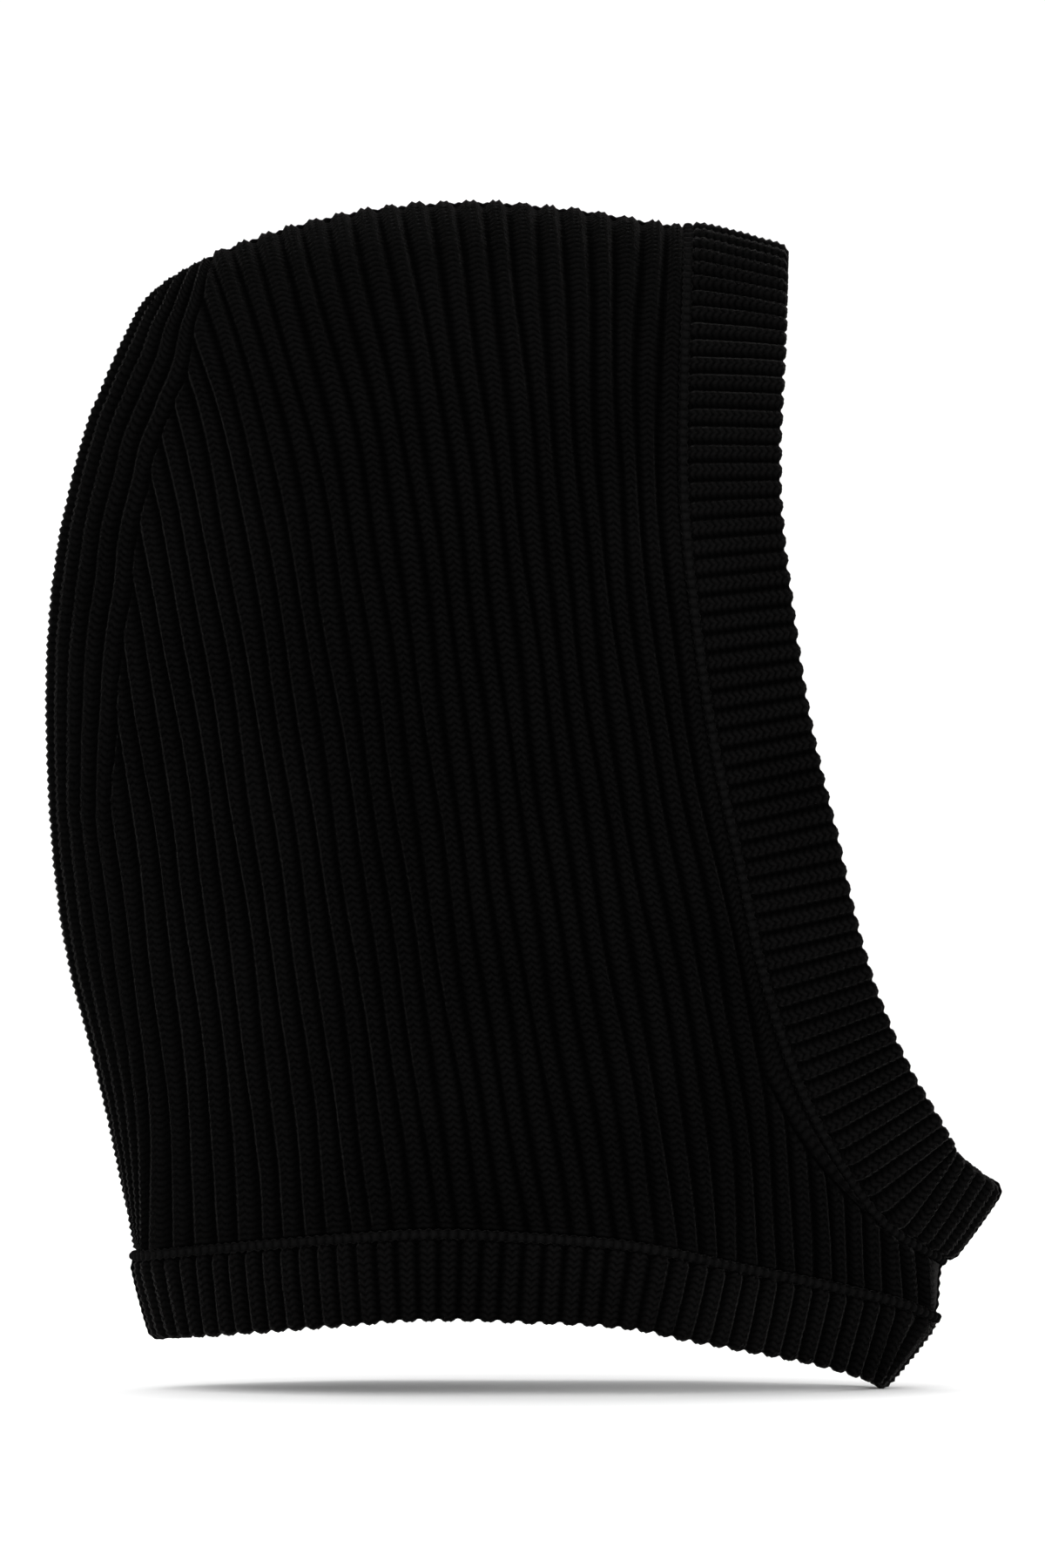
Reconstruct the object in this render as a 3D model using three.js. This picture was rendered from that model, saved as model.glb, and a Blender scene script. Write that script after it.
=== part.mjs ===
// Rib-knitted balaclava hood, open at the face and at the neck, standing as a head would fill it.
// Millimetres. +X is the front of the wearer, +Y the wearer's left, +Z up.
// The origin is under the middle of the hood, level with the lowest point of the neck band.
import * as THREE from 'three';
import { LoftGeometry } from 'three/addons/geometries/LoftGeometry.js';

// Overall sizes
const DEPTH = 280;
const HEIGHT = 350;
const HEAD_WIDTH = 136;
const NECK_WIDTH = 116;

// Knit and trims
const KNIT = 4.5;
const BAND_THICKNESS = 6.5;
const FACE_BAND_WIDTH = 30;
const NECK_BAND_WIDTH = 25.5;
const CHAIN = 2.6;
const JOIN_THICKNESS = 1.6;
const LABEL_WIDTH = 44;
const LABEL_HEIGHT = 14;
const LABEL_THICKNESS = 0.8;
const CARE_WIDTH = 22;
const CARE_HEIGHT = 24;
const CARE_THICKNESS = 1;
const TACK = 1;
const TACK_INSET = 2;
const CLEARANCE = 0.35;
const SEAM_CLEARANCE = 1.1;

// How round the hood is: the side view's radius and the half-width follow
// (y / half-width)^FOLD + (radius / outline)^ROUND = 1.
const FOLD = 1.65;
const ROUND = 2.1;
const HUB = { x: 0, z: 0.54 };

// Resolution
const ROWS = 24;
const COLUMNS = 20;
const BAND_STEPS = 26;
const CHAIN_SIDES = 6;
const OUTLINE_SAMPLES = 720;
const LOOKUP = 400;

const side = ([x, z]) => new THREE.Vector3(x * DEPTH, 0, z * HEIGHT);
const spline = (points) => new THREE.CatmullRomCurve3(points.map(side), false, 'centripetal');

// Centre-line outline in shares of depth and height: up the back, over the crown, down the open
// face and the throat. It runs on below the hem, so that the neck stays an open tube.
const BACK = [
  [-0.36, -0.45], [-0.374, -0.08], [-0.385, 0.045], [-0.403, 0.085], [-0.41, 0.125], [-0.444, 0.255],
];
const NAPE_TO_CROWN = [
  [-0.482, 0.38], [-0.5, 0.53], [-0.494, 0.68], [-0.463, 0.8], [-0.42, 0.885],
  [-0.393, 0.922], [-0.33, 0.954], [-0.2, 0.988], [-0.06, 1], [0.06, 0.993],
];
const FACE_TOP = [0.174, 0.98];
const OPEN_FACE = [
  [0.225, 0.985], [0.29, 0.952], [0.4, 0.87], [0.486, 0.73], [0.524, 0.57], [0.532, 0.4], [0.524, 0.26],
];
const CHIN_EDGE = [0.5, 0.166];
const CHIN = [0.446, 0.108];
const THROAT = [[0.438, 0.065], [0.412, 0.03], [0.37, -0.005], [0.34, -0.06], [0.32, -0.45]];
const outlinePoints = [...BACK, ...NAPE_TO_CROWN, FACE_TOP, ...OPEN_FACE, CHIN_EDGE, CHIN, ...THROAT];
const outline = spline(outlinePoints);
const outlineAt = (index) => index / (outlinePoints.length - 1);
const FACE_TOP_AT = outlineAt(outlinePoints.indexOf(FACE_TOP));
const CHIN_AT = outlineAt(outlinePoints.indexOf(CHIN));

// Seams in the side view, from the crown down to the chin and from the nape to the throat.
const faceSeam = spline([
  FACE_TOP, [0.169, 0.87], [0.1675, 0.75], [0.178, 0.655], [0.198, 0.545], [0.226, 0.44],
  [0.252, 0.345], [0.288, 0.26], [0.335, 0.19], [0.382, 0.141], CHIN,
]);
const neckSeam = spline([
  [-0.409, 0.113], [-0.33, 0.121], [-0.11, 0.1365], [0, 0.134], [0.12, 0.126],
  [0.228, 0.107], [0.33, 0.089], [0.403, 0.073], [0.4375, 0.06],
]);

// The hood's surface
const hub = side([HUB.x, HUB.z]);

const angleOf = (p) => Math.atan2(p.z - hub.z, p.x - hub.x);

const radii = Array.from({ length: OUTLINE_SAMPLES + 1 }, (_, i) => {
  const p = outline.getPoint(i / OUTLINE_SAMPLES);
  const angle = angleOf(p);
  return { angle: angle < -Math.PI / 2 ? angle + 2 * Math.PI : angle, radius: p.distanceTo(hub) };
}).sort((a, b) => a.angle - b.angle);

// Distance from the hub to the outline in a point's direction, from the sampled outline.
function outlineRadius(p) {
  let angle = angleOf(p);
  if (angle < -Math.PI / 2) angle += 2 * Math.PI;
  let low = 0;
  let high = radii.length - 1;
  while (high - low > 1) {
    const middle = (low + high) >> 1;
    if (radii[middle].angle > angle) high = middle;
    else low = middle;
  }
  const span = radii[high].angle - radii[low].angle || 1;
  const share = THREE.MathUtils.clamp((angle - radii[low].angle) / span, 0, 1);
  return THREE.MathUtils.lerp(radii[low].radius, radii[high].radius, share);
}

const NECK_TOP = 0.14;
const HEAD_BASE = 0.62;
const halfWidth = (z) => THREE.MathUtils.lerp(
  NECK_WIDTH / 2, HEAD_WIDTH / 2, THREE.MathUtils.smoothstep(z, NECK_TOP * HEIGHT, HEAD_BASE * HEIGHT));

// Zero on the outer surface, negative inside.
function field(p) {
  const share = Math.hypot(p.x - hub.x, p.z - hub.z) / outlineRadius(p);
  return (Math.abs(p.y) / halfWidth(p.z)) ** FOLD + share ** ROUND - 1;
}

// Puts a side-view point on the outer surface of the wearer's left half.
function raise(p) {
  const share = Math.hypot(p.x - hub.x, p.z - hub.z) / outlineRadius(p);
  const y = halfWidth(p.z) * Math.max(0, 1 - share ** ROUND) ** (1 / FOLD);
  return new THREE.Vector3(p.x, y, p.z);
}

// The point on the surface at half-width y in the direction of an outline point.
function pullIn(p, y) {
  const share = (1 - (y / halfWidth(p.z)) ** FOLD) ** (1 / ROUND);
  const q = hub.clone().lerp(p, share * outlineRadius(p) / p.distanceTo(hub));
  return q.setY(y);
}

const STEP = 0.5;
function outward(p) {
  const slope = (axis) => {
    const ahead = p.clone();
    const behind = p.clone();
    ahead[axis] += STEP;
    behind[axis] -= STEP;
    return field(ahead) - field(behind);
  };
  return new THREE.Vector3(slope('x'), slope('y'), slope('z')).normalize();
}

const mirrored = (p) => new THREE.Vector3(p.x, -p.y, p.z);
const range = (count) => Array.from({ length: count + 1 }, (_, i) => i / count);
const ease = (f) => (1 - Math.cos(Math.PI * f)) / 2;

// Arc-length table of a stretch of the centre-line outline.
function stretch(from, to) {
  const points = range(LOOKUP).map((f) => outline.getPoint(THREE.MathUtils.lerp(from, to, f)));
  const lengths = [0];
  for (let i = 1; i < points.length; i++) lengths.push(lengths[i - 1] + points[i].distanceTo(points[i - 1]));
  const total = lengths[lengths.length - 1];
  return {
    total,
    at(distance) {
      const d = THREE.MathUtils.clamp(distance, 0, total);
      const i = Math.max(1, lengths.findIndex((value) => value >= d));
      return points[i - 1].clone().lerp(points[i], (d - lengths[i - 1]) / (lengths[i] - lengths[i - 1]));
    },
  };
}

// The share of the outline, between two shares, that lies nearest to a point.
function nearest(p, from, to) {
  const shares = range(LOOKUP).map((f) => THREE.MathUtils.lerp(from, to, f));
  const away = (s) => outline.getPoint(s).distanceTo(p);
  return shares.reduce((best, s) => (away(s) < away(best) ? s : best));
}
const NAPE_AT = nearest(neckSeam.getPoint(0), 0, FACE_TOP_AT);
const THROAT_AT = nearest(neckSeam.getPoint(1), CHIN_AT, 1);
const backLine = stretch(NAPE_AT, FACE_TOP_AT);
const chinLine = stretch(CHIN_AT, THROAT_AT);
const browLine = stretch(FACE_TOP_AT, CHIN_AT);
const napeDown = stretch(NAPE_AT, 0);
const throatDown = stretch(THROAT_AT, 1);

const SEAM_GAP = CHAIN / 2 + SEAM_CLEARANCE;
const acrossSeam = (curve, t, sign) => {
  const d = curve.getTangent(t);
  return new THREE.Vector3(-d.z, 0, d.x).multiplyScalar(sign);
};
const FACE_FORWARD = 1;
const NECK_DOWN = -1;
const faceForward = (t) => acrossSeam(faceSeam, t, FACE_FORWARD);
const neckDown = (t) => acrossSeam(neckSeam, t, NECK_DOWN);

// Panels: rows run from the centre back to the face seam, or to the centre front below the chin.
const TOP_SHARE = 0.006;
const SEAM_ROUND = 3;
function frontEdge(b) {
  const chinShare = chinLine.total / (chinLine.total + faceSeam.getLength());
  if (b < chinShare) {
    const up = SEAM_GAP + (1 - b / chinShare) * (chinLine.total - 2 * SEAM_GAP);
    return { point: pullIn(chinLine.at(up), SEAM_GAP), onCentre: true };
  }
  const t = THREE.MathUtils.lerp(1, TOP_SHARE, (b - chinShare) / (1 - chinShare));
  const point = faceSeam.getPoint(t).addScaledVector(faceForward(t), -SEAM_GAP);
  return { point, onCentre: false };
}

function panelPoint(b, f) {
  const back = pullIn(backLine.at(SEAM_GAP + b * (backLine.total - 2 * SEAM_GAP)), SEAM_GAP);
  const front = frontEdge(b);
  const g = ease(f);
  const flat = back.clone().lerp(front.point, g).setY(0);
  const straight = neckSeam.getPoint(0).lerp(neckSeam.getPoint(1), g);
  const sag = neckSeam.getPoint(g).sub(straight).multiplyScalar((1 - b) ** SEAM_ROUND);
  flat.add(sag);
  const point = f === 0 ? back : raise(flat);
  if (f === 1 && front.onCentre) point.copy(front.point);
  if (point.y < SEAM_GAP) point.y = SEAM_GAP;
  return point;
}

const inner = (p, depth) => {
  const q = p.clone().addScaledVector(outward(p), -depth);
  if (q.y < SEAM_GAP) q.y = SEAM_GAP;
  return q;
};

// A panel's section is a row's outer points and back along its inner points. The first and last rows
// are walled by one more section whose inner points have closed up on the outer ones.
function panelSections() {
  const outerRows = range(ROWS).map((r) => range(COLUMNS).map((f) => panelPoint(r, f)));
  const ring = (outerRow, innerRow) => [...outerRow, ...[...innerRow].reverse()];
  const sections = outerRows.map((row) => ring(row, row.map((p) => inner(p, KNIT))));
  const first = outerRows[0];
  const last = outerRows[ROWS];
  return [ring(first, first), ...sections, ring(last, last)];
}

// Bands: a rounded section carried round an opening, from one end join to the other.
function bandFrame(seamPoint, edgePoint, ahead, behind) {
  const across = edgePoint.clone().sub(seamPoint);
  const normal = ahead.clone().sub(behind).cross(across).normalize();
  return { seamPoint, across, normal };
}

// A band's section, in shares of its width and its thickness: it swells a little in the middle.
const SWELL = 0.56;
const CORNERS = [
  [0, 0.3], [0.12, 0.5], [0.5, SWELL], [0.88, 0.5], [1, 0.2],
  [1, -0.2], [0.88, -0.5], [0.5, -SWELL], [0.12, -0.5], [0, -0.3],
];
function bandSection({ seamPoint, across, normal }) {
  const width = across.length();
  const start = SEAM_GAP / width;
  return CORNERS.map(([s, n]) => seamPoint.clone()
    .addScaledVector(across, THREE.MathUtils.lerp(start, 1, s))
    .addScaledVector(normal, n * BAND_THICKNESS - KNIT / 2));
}

// A loop of frames round both sides of an opening; halfLoop(t) gives seam and edge at share t of
// the wearer's left side, and both ends lie on the centre plane.
function bandSections(halfLoop, gap) {
  const half = range(BAND_STEPS).map((t) => halfLoop(t));
  const other = half.slice(0, -1).reverse().map(([a, b]) => [mirrored(a), mirrored(b)]);
  const loop = [...half, ...other];
  const ends = [0, loop.length - 1];
  return loop.map(([seamPoint, edgePoint], i) => {
    const ahead = loop[Math.min(i + 1, loop.length - 1)][0].clone();
    const behind = loop[Math.max(i - 1, 0)][0].clone();
    if (i === 0) behind.copy(mirrored(ahead));
    if (i === loop.length - 1) ahead.copy(mirrored(behind));
    const section = bandSection(bandFrame(seamPoint, edgePoint, ahead, behind));
    if (ends.includes(i)) section.forEach((p) => p.setY(i === 0 ? gap : -gap));
    return section;
  });
}

const JOIN_GAP = JOIN_THICKNESS / 2 + CLEARANCE;

// How much deeper or shallower than its width each band stands, evenly along a half loop: the face
// band from brow to chin and the neck band from nape to throat.
const evenly = (shares) => new THREE.SplineCurve(shares.map((share, i) => new THREE.Vector2(i, share)));
const FACE_STRETCH = evenly([1.1, 0.97, 0.975, 1.01, 1.05, 1.06, 0.91]);
const NECK_STRETCH = evenly([1, 1, 1, 0.96, 0.93, 0.99, 1.06]);

// The free edge leaves the seam square to it, and follows the centre-line outline at both ends.
const END_BLEND = 0.12;
function faceHalf(tFromChin) {
  const t = 1 - tFromChin;
  const seamFlat = faceSeam.getPoint(t);
  const width = FACE_BAND_WIDTH * FACE_STRETCH.getPoint(t).y;
  const square = faceForward(t).multiplyScalar(width);
  const top = browLine.at(width).sub(browLine.at(0));
  const chin = browLine.at(browLine.total - width).sub(browLine.at(browLine.total));
  const nearTop = 1 - THREE.MathUtils.smoothstep(t, 0, END_BLEND);
  const nearChin = THREE.MathUtils.smoothstep(t, 1 - END_BLEND, 1);
  const reach = square.lerp(top, nearTop).lerp(chin, nearChin);
  const seamPoint = raise(seamFlat);
  const edgePoint = raise(seamFlat.clone().add(reach));
  if (t === 0 || t === 1) [seamPoint, edgePoint].forEach((p) => p.setY(0));
  return [seamPoint, edgePoint];
}

function neckHalf(t) {
  const seamFlat = neckSeam.getPoint(t);
  const width = NECK_BAND_WIDTH * NECK_STRETCH.getPoint(t).y;
  const square = neckDown(t).multiplyScalar(width);
  const nape = napeDown.at(width).sub(napeDown.at(0));
  const throat = throatDown.at(width).sub(throatDown.at(0));
  const reach = square
    .lerp(nape, 1 - THREE.MathUtils.smoothstep(t, 0, END_BLEND))
    .lerp(throat, THREE.MathUtils.smoothstep(t, 1 - END_BLEND, 1));
  const seamPoint = raise(seamFlat);
  const edgePoint = raise(seamFlat.clone().add(reach));
  if (t === 0 || t === 1) [seamPoint, edgePoint].forEach((p) => p.setY(0));
  return [seamPoint, edgePoint];
}

// The flat join between a band's two ends, in the centre plane.
function joinSections([seamPoint, edgePoint], tilt) {
  const across = edgePoint.clone().sub(seamPoint);
  const normal = new THREE.Vector3(0, tilt, 0).cross(across).normalize();
  const section = bandSection({ seamPoint, across, normal });
  return [-1, 1].map((end) => section.map((p) => p.clone().setY(end * JOIN_THICKNESS / 2)));
}

// Chains: a round section along a seam, at the middle of the knit.
function chainSections(points, closed) {
  return points.map((p, i) => {
    const last = points.length - 1;
    const before = points[i === 0 ? (closed ? last - 1 : 0) : i - 1];
    const after = points[i === last ? (closed ? 1 : last) : i + 1];
    const along = after.clone().sub(before).normalize();
    const out = outward(p);
    const sideways = along.clone().cross(out).normalize();
    const up = sideways.clone().cross(along);
    const centre = p.clone().addScaledVector(out, -KNIT / 2);
    return range(CHAIN_SIDES).slice(0, -1).map((f) => centre.clone()
      .addScaledVector(sideways, Math.cos(2 * Math.PI * f) * CHAIN / 2)
      .addScaledVector(up, Math.sin(2 * Math.PI * f) * CHAIN / 2));
  });
}

const bothSides = (half) => [...half, ...half.slice(0, -1).reverse().map(mirrored)];
const CHAIN_STEPS = 30;
const BACK_STEPS = 34;
const CHIN_STEPS = 4;
const onCentre = (p) => p.clone().setY(0);

const faceChain = bothSides(range(CHAIN_STEPS).map((t) => {
  const p = faceSeam.getPoint(t);
  return t === 0 || t === 1 ? onCentre(p) : raise(p);
}));
const neckChain = bothSides(range(CHAIN_STEPS).map((t) => {
  const p = neckSeam.getPoint(t);
  return t === 0 || t === 1 ? onCentre(p) : raise(p);
}));
const CHAIN_END = CHAIN + CLEARANCE;
const centreChain = range(BACK_STEPS)
  .map((f) => backLine.at(CHAIN_END + f * (backLine.total - 2 * CHAIN_END)));
const chinChain = range(CHIN_STEPS)
  .map((f) => chinLine.at(CHAIN_END + f * (chinLine.total - 2 * CHAIN_END)));

// Labels lie against the inside of the knit. A plate is a list of sections of four points, between
// two depths under the outer surface.
const LABEL_STEPS = 12;
const LABEL_LIFT = 6;

// The outer surface behind a point, found by halving the distance that it lies in.
const HALVINGS = 40;
function backSurface(y, z) {
  let far = -DEPTH;
  let near = hub.x;
  for (let i = 0; i < HALVINGS; i++) {
    const middle = (far + near) / 2;
    if (field(new THREE.Vector3(middle, y, z)) > 0) far = middle;
    else near = middle;
  }
  return new THREE.Vector3(near, y, z);
}

const LABEL_DEPTH = KNIT + 2 * CLEARANCE;
const labelLow = neckSeam.getPoint(0).z + SEAM_GAP + LABEL_LIFT;
function backPlate(from, to, low, high, depth, thickness, steps) {
  const at = (y, z, d) => {
    const p = backSurface(y, z);
    return p.addScaledVector(outward(p), -d);
  };
  return range(steps).map((f) => {
    const y = THREE.MathUtils.lerp(from, to, f);
    const under = depth + thickness;
    return [at(y, low, depth), at(y, high, depth), at(y, high, under), at(y, low, under)];
  });
}
const labelSide = LABEL_WIDTH / 2;
const labelHigh = labelLow + LABEL_HEIGHT;
const neckLabel = backPlate(
  -labelSide, labelSide, labelLow, labelHigh, LABEL_DEPTH, LABEL_THICKNESS, LABEL_STEPS);
const tack = (sign) => {
  const y = sign * (labelSide - TACK_INSET);
  const depth = LABEL_DEPTH + LABEL_THICKNESS + CLEARANCE;
  return backPlate(y - TACK / 2, y + TACK / 2, labelLow + TACK, labelHigh - TACK, depth, TACK, 1);
};

// The care label hangs from the neck seam over the inside of the neck band, on the left.
const CARE_TOP = 2;
const CARE_BEND = 3;
const CARE_AT = -20;
const careTop = neckSeam.getPoint(0.5).z + CARE_TOP;
const BAND_DEPTH = KNIT / 2 + SWELL * BAND_THICKNESS + 2 * CLEARANCE;
const careSections = [
  [careTop, LABEL_DEPTH],
  [careTop - CARE_TOP - CARE_BEND, BAND_DEPTH],
  [careTop - CARE_HEIGHT, BAND_DEPTH],
].map(([z, depth]) => {
  const at = (x, d) => {
    const p = raise(new THREE.Vector3(x, 0, z));
    return p.addScaledVector(outward(p), -d);
  };
  const under = depth + CARE_THICKNESS;
  const rear = CARE_AT - CARE_WIDTH / 2;
  const front = CARE_AT + CARE_WIDTH / 2;
  return [at(rear, depth), at(front, depth), at(front, under), at(rear, under)];
});

// Orients a solid outwards whichever way its sections were listed.
function solid(sections, open = true) {
  const build = (list) => new LoftGeometry(list, { closed: true, capStart: open, capEnd: open });
  const geometry = build(sections);
  if (volume(geometry) > 0) return geometry;
  return build(sections.map((section) => [...section].reverse()));
}

function volume(geometry) {
  const at = geometry.getAttribute('position');
  const index = geometry.getIndex();
  const corner = (k) => new THREE.Vector3().fromBufferAttribute(at, index.getX(k));
  let sum = 0;
  for (let k = 0; k < index.count; k += 3) sum += corner(k).dot(corner(k + 1).cross(corner(k + 2)));
  return sum / 6;
}

const knit = { color: 0x0b0b0c, roughness: 0.95, metalness: 0 };
const ribbing = { color: 0x0d0d0e, roughness: 0.95, metalness: 0 };
const yarn = { color: 0x08080a, roughness: 0.9, metalness: 0 };
const satin = { color: 0x1a1a1c, roughness: 0.5, metalness: 0 };

const group = new THREE.Group();
function add(name, geometry, finish) {
  const mesh = new THREE.Mesh(geometry, new THREE.MeshStandardMaterial(finish));
  mesh.name = name;
  group.add(mesh);
}

const leftPanel = panelSections();
const rightPanel = leftPanel.map((section) => section.map(mirrored));
add('hood_panel_left', solid(leftPanel, false), knit);
add('hood_panel_right', solid(rightPanel, false), knit);
add('face_band', solid(bandSections(faceHalf, JOIN_GAP)), ribbing);
add('neck_band', solid(bandSections(neckHalf, JOIN_GAP)), ribbing);
add('face_seam', solid(chainSections(faceChain, true), false), yarn);
add('neck_seam', solid(chainSections(neckChain, true), false), yarn);
add('centre_seam', solid(chainSections(centreChain, false)), yarn);
add('chin_seam', solid(chainSections(chinChain, false)), yarn);
add('face_band_join', solid(joinSections(faceHalf(0), 1)), yarn);
add('neck_band_join', solid(joinSections(neckHalf(0), 1)), yarn);
add('neck_label', solid(neckLabel), satin);
add('neck_label_tack_left', solid(tack(1)), yarn);
add('neck_label_tack_right', solid(tack(-1)), yarn);
add('care_label', solid(careSections), satin);

// Stands the hood's box over the origin.
const box = new THREE.Box3().setFromObject(group);
const middle = box.getCenter(new THREE.Vector3());
group.position.set(-middle.x, -middle.y, -box.min.z);

export default group;
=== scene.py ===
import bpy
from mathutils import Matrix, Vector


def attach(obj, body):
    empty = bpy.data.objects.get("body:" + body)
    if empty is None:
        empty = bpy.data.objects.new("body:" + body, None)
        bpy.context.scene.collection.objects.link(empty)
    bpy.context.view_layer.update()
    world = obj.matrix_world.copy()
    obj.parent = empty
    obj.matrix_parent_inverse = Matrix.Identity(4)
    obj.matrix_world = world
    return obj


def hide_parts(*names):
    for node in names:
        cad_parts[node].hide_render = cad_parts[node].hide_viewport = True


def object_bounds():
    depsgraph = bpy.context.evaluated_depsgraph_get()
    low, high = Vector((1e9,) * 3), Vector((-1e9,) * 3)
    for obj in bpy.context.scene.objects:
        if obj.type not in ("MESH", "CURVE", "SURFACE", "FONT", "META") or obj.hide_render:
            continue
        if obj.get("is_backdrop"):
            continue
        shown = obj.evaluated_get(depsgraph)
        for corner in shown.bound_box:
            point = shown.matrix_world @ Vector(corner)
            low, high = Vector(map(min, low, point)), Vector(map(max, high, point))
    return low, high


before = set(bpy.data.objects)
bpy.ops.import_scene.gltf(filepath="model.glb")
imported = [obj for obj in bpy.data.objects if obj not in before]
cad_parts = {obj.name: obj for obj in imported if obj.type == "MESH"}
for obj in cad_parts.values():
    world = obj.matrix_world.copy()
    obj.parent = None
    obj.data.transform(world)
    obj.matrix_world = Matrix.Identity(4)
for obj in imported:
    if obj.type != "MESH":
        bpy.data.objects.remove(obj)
CAD_BOX = [list(corner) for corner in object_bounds()]

import math

import bpy
import numpy as np

# A black rib-knitted balaclava hood, standing open as a head fills it. Metres, +X the way the
# wearer faces, +Y the wearer's left, +Z up.

# The hood's form
DEPTH = 0.280
HEIGHT = 0.350
HEAD_HALF_WIDTH = 0.068
NECK_HALF_WIDTH = 0.058
NECK_TOP = 0.14
HEAD_BASE = 0.62
FOLD = 1.65
ROUND = 2.1
HUB = np.array([0.0, 0.54 * HEIGHT])

# Cloth and trims
KNIT = 0.0045
BAND_THICKNESS = 0.0065
FACE_BAND_WIDTH = 0.030
NECK_BAND_WIDTH = 0.0255
SEAM_EDGE = 0.0006
STITCH = 0.00215
STITCH_HEIGHT = 0.00032
CHEVRON = 0.62
WALE_AT = 0.23
GAP_DEPTH = -0.0024
CREST = 0.0003
RIB_PITCH = 0.0063
BACK_RIBS = 5
UNEVENNESS = 0.00022

BODY = "root"


# ------------------------------------------------------------
# Curves and the hood's surface
# ------------------------------------------------------------

def side(points):
    """Side-view points in metres from shares of the hood's depth and height."""
    return np.array(points, float) * (DEPTH, HEIGHT)


def spline(points, samples=3001):
    """A smooth curve through points: cubic pieces whose speed follows the square root of the
    distance between neighbours, so that it doesn't overshoot where they lie close together."""
    p = np.array(points, float)
    p = np.vstack([2 * p[0] - p[1], p, 2 * p[-1] - p[-2]])
    pieces = len(p) - 3
    t = np.linspace(0, pieces, samples)
    i = np.minimum(t.astype(int), pieces - 1)
    f = (t - i)[:, None]
    a, b, c, d = p[i], p[i + 1], p[i + 2], p[i + 3]
    ab, bc, cd = (np.sqrt(np.linalg.norm(q - r, axis=1))[:, None] for q, r in ((b, a), (c, b), (d, c)))
    leave = ((b - a) / ab - (c - a) / (ab + bc) + (c - b) / bc) * bc
    arrive = ((c - b) / bc - (d - b) / (bc + cd) + (d - c) / cd) * bc
    return hermite(f, b, c, leave, arrive)


def hermite(f, start, end, leave, arrive):
    """The cubic from start to end with those slopes at its ends, at share f."""
    g = f * f * (3 - 2 * f)
    return (1 - g) * start + g * end + f * (1 - f) ** 2 * leave - f * f * (1 - f) * arrive


def through(t, knots, values):
    """A smooth function through values at knots, straight on beyond the first and the last.
    Values may have more axes after the first, which t then matches."""
    knots, values = np.asarray(knots, float), np.asarray(values, float)
    slopes = np.gradient(values, knots, axis=0)
    if values.ndim > 1:
        t = np.broadcast_to(t, values.shape[1:])
    i = np.clip(np.searchsorted(knots, t) - 1, 0, len(knots) - 2)
    pick = (lambda table, k: table[k]) if values.ndim == 1 else (
        lambda table, k: np.take_along_axis(table, k[None], 0)[0])
    span = knots[i + 1] - knots[i]
    share = (t - knots[i]) / span
    f = np.clip(share, 0, 1)
    leave, arrive = pick(slopes, i) * span, pick(slopes, i + 1) * span
    inside = hermite(f, pick(values, i), pick(values, i + 1), leave, arrive)
    return inside + np.minimum(share, 0) * leave + np.maximum(share - 1, 0) * arrive


def smooth(x, low, high):
    """0 below low, 1 above high, and an S-shaped rise between."""
    f = np.clip((x - low) / (high - low), 0, 1)
    return f * f * (3 - 2 * f)


def lengths(points):
    """The distance along a line to each of its points; lines are on the axis before the last."""
    steps = np.linalg.norm(np.diff(points, axis=-2), axis=-1)
    first = np.zeros(steps.shape[:-1] + (1,))
    return np.concatenate([first, np.cumsum(steps, -1)], -1)


def along(points, distance):
    """Points at distances along a line."""
    at = lengths(points)
    return np.stack([np.interp(distance, at, points[:, i]) for i in range(points.shape[1])], -1)


def resample(lines, at, wanted):
    """Each line's points where its own measure at reaches the wanted values."""
    return np.array([
        np.stack([np.interp(w, a, line[:, i]) for i in range(line.shape[1])], -1)
        for line, a, w in zip(lines, at, wanted)
    ])


def unit(v):
    """Vectors divided by their own lengths."""
    return v / np.maximum(np.linalg.norm(v, axis=-1, keepdims=True), 1e-12)


# The centre-line outline in shares of depth and height: up the back, over the crown, down the
# open face, round the chin and down the throat, and on below the hem.
BACK = [
    (-0.36, -0.45), (-0.374, -0.08), (-0.385, 0.045), (-0.403, 0.085), (-0.41, 0.125), (-0.444, 0.255),
]
CROWN_CORNER = (-0.393, 0.922)
NAPE_TO_CROWN = [
    (-0.482, 0.38), (-0.5, 0.53), (-0.494, 0.68), (-0.463, 0.8), (-0.42, 0.885),
    CROWN_CORNER, (-0.33, 0.954), (-0.2, 0.988), (-0.06, 1), (0.06, 0.993),
]
FACE_TOP = (0.174, 0.98)
OPEN_FACE = [
    (0.225, 0.985), (0.29, 0.952), (0.4, 0.87), (0.486, 0.73), (0.524, 0.57), (0.532, 0.4), (0.524, 0.26),
]
CHIN_EDGE = (0.5, 0.166)
CHIN = (0.446, 0.108)
THROAT = [(0.438, 0.065), (0.412, 0.03), (0.37, -0.005), (0.34, -0.06), (0.32, -0.45)]
OUTLINE = spline(side([*BACK, *NAPE_TO_CROWN, FACE_TOP, *OPEN_FACE, CHIN_EDGE, CHIN, *THROAT]), 6001)

# The seams, from the crown down to the chin and from the nape round to the throat.
FACE_SEAM = spline(side([
    FACE_TOP, (0.169, 0.87), (0.1675, 0.75), (0.178, 0.655), (0.198, 0.545), (0.226, 0.44),
    (0.252, 0.345), (0.288, 0.26), (0.335, 0.19), (0.382, 0.141), CHIN,
]))
NECK_SEAM = spline(side([
    (-0.409, 0.113), (-0.33, 0.121), (-0.11, 0.1365), (0, 0.134), (0.12, 0.126),
    (0.228, 0.107), (0.33, 0.089), (0.403, 0.073), (0.4375, 0.06),
]))


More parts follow.
